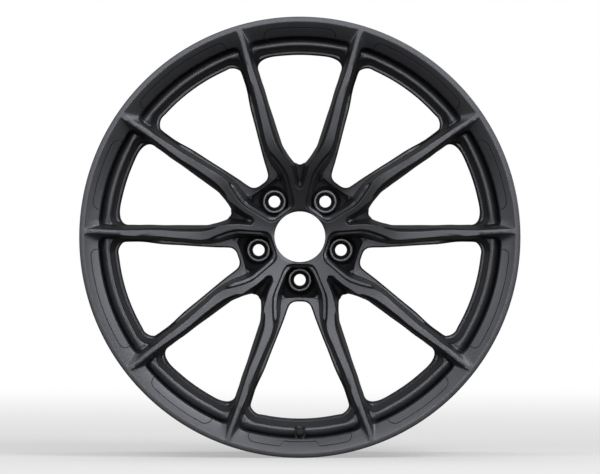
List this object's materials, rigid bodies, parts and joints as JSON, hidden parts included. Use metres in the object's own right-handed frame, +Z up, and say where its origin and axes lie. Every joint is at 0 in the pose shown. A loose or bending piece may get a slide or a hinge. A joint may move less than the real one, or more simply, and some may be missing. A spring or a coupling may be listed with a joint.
{
  "type": "forged wheel rim",
  "caption": "Dark forged racing wheel rim with paired spokes, countersunk lug pockets, hub bore, drop-centre barrel and tyre valve.",
  "frame": {"origin": "hub bore axis at the mounting face", "axes": "+Y along the spin axis toward the vehicle, the styled face toward -Y, +Z up with the valve at the bottom"},
  "size_m": [0.5478, 0.2546, 0.5478],
  "materials": {
    "satin_graphite": "satin graphite powder coat",
    "barrel_coat": "satin graphite powder coat",
    "weld_metal": "coated weld",
    "seat_steel": "dark coated steel",
    "valve_metal": "black anodised",
    "cap_plastic": "matt black",
    "seal_rubber": "matt",
    "core_brass": "machined",
    "spring_steel": "drawn wire"
  },
  "bodies": {
    "rim": {"forged_face": "satin_graphite", "inner_barrel": "barrel_coat", "weld_bead": "weld_metal", "lug_seat_1": "seat_steel", "lug_seat_2": "seat_steel", "lug_seat_3": "seat_steel", "lug_seat_4": "seat_steel", "lug_seat_5": "seat_steel", "valve_stem": "valve_metal", "valve_grommet": "seal_rubber", "valve_washer": "valve_metal", "valve_nut": "valve_metal", "valve_core_body": "core_brass", "valve_core_seal": "seal_rubber"},
    "core_pin": {"valve_core_pin": "core_brass", "valve_core_spring": "spring_steel"},
    "cap_carrier": {"valve_cap_seal": "seal_rubber"},
    "cap": {"valve_cap": "cap_plastic"}
  },
  "joints": [
    {"name": "core_press", "type": "slide", "parent": "rim", "child": "core_pin", "axis": [0, 0.9848, -0.1736], "range_m": [0, 0.0012], "stiffness_N_per_m": 400, "springref_m": -0.0008},
    {"name": "cap_lift", "type": "slide", "parent": "rim", "child": "cap_carrier", "axis": [0, -0.9848, 0.1736], "range_m": [0, 0.00556]},
    {"name": "cap_turn", "type": "hinge", "parent": "cap_carrier", "child": "cap", "pos_m": [0, -0.0701, -0.24239], "axis": [0, -0.9848, 0.1736], "range_deg": [0, 2520]}
  ],
  "couplings": [
    {"joint": "cap_turn", "follows": "cap_lift", "rad_per_m": 7915.8}
  ]
}
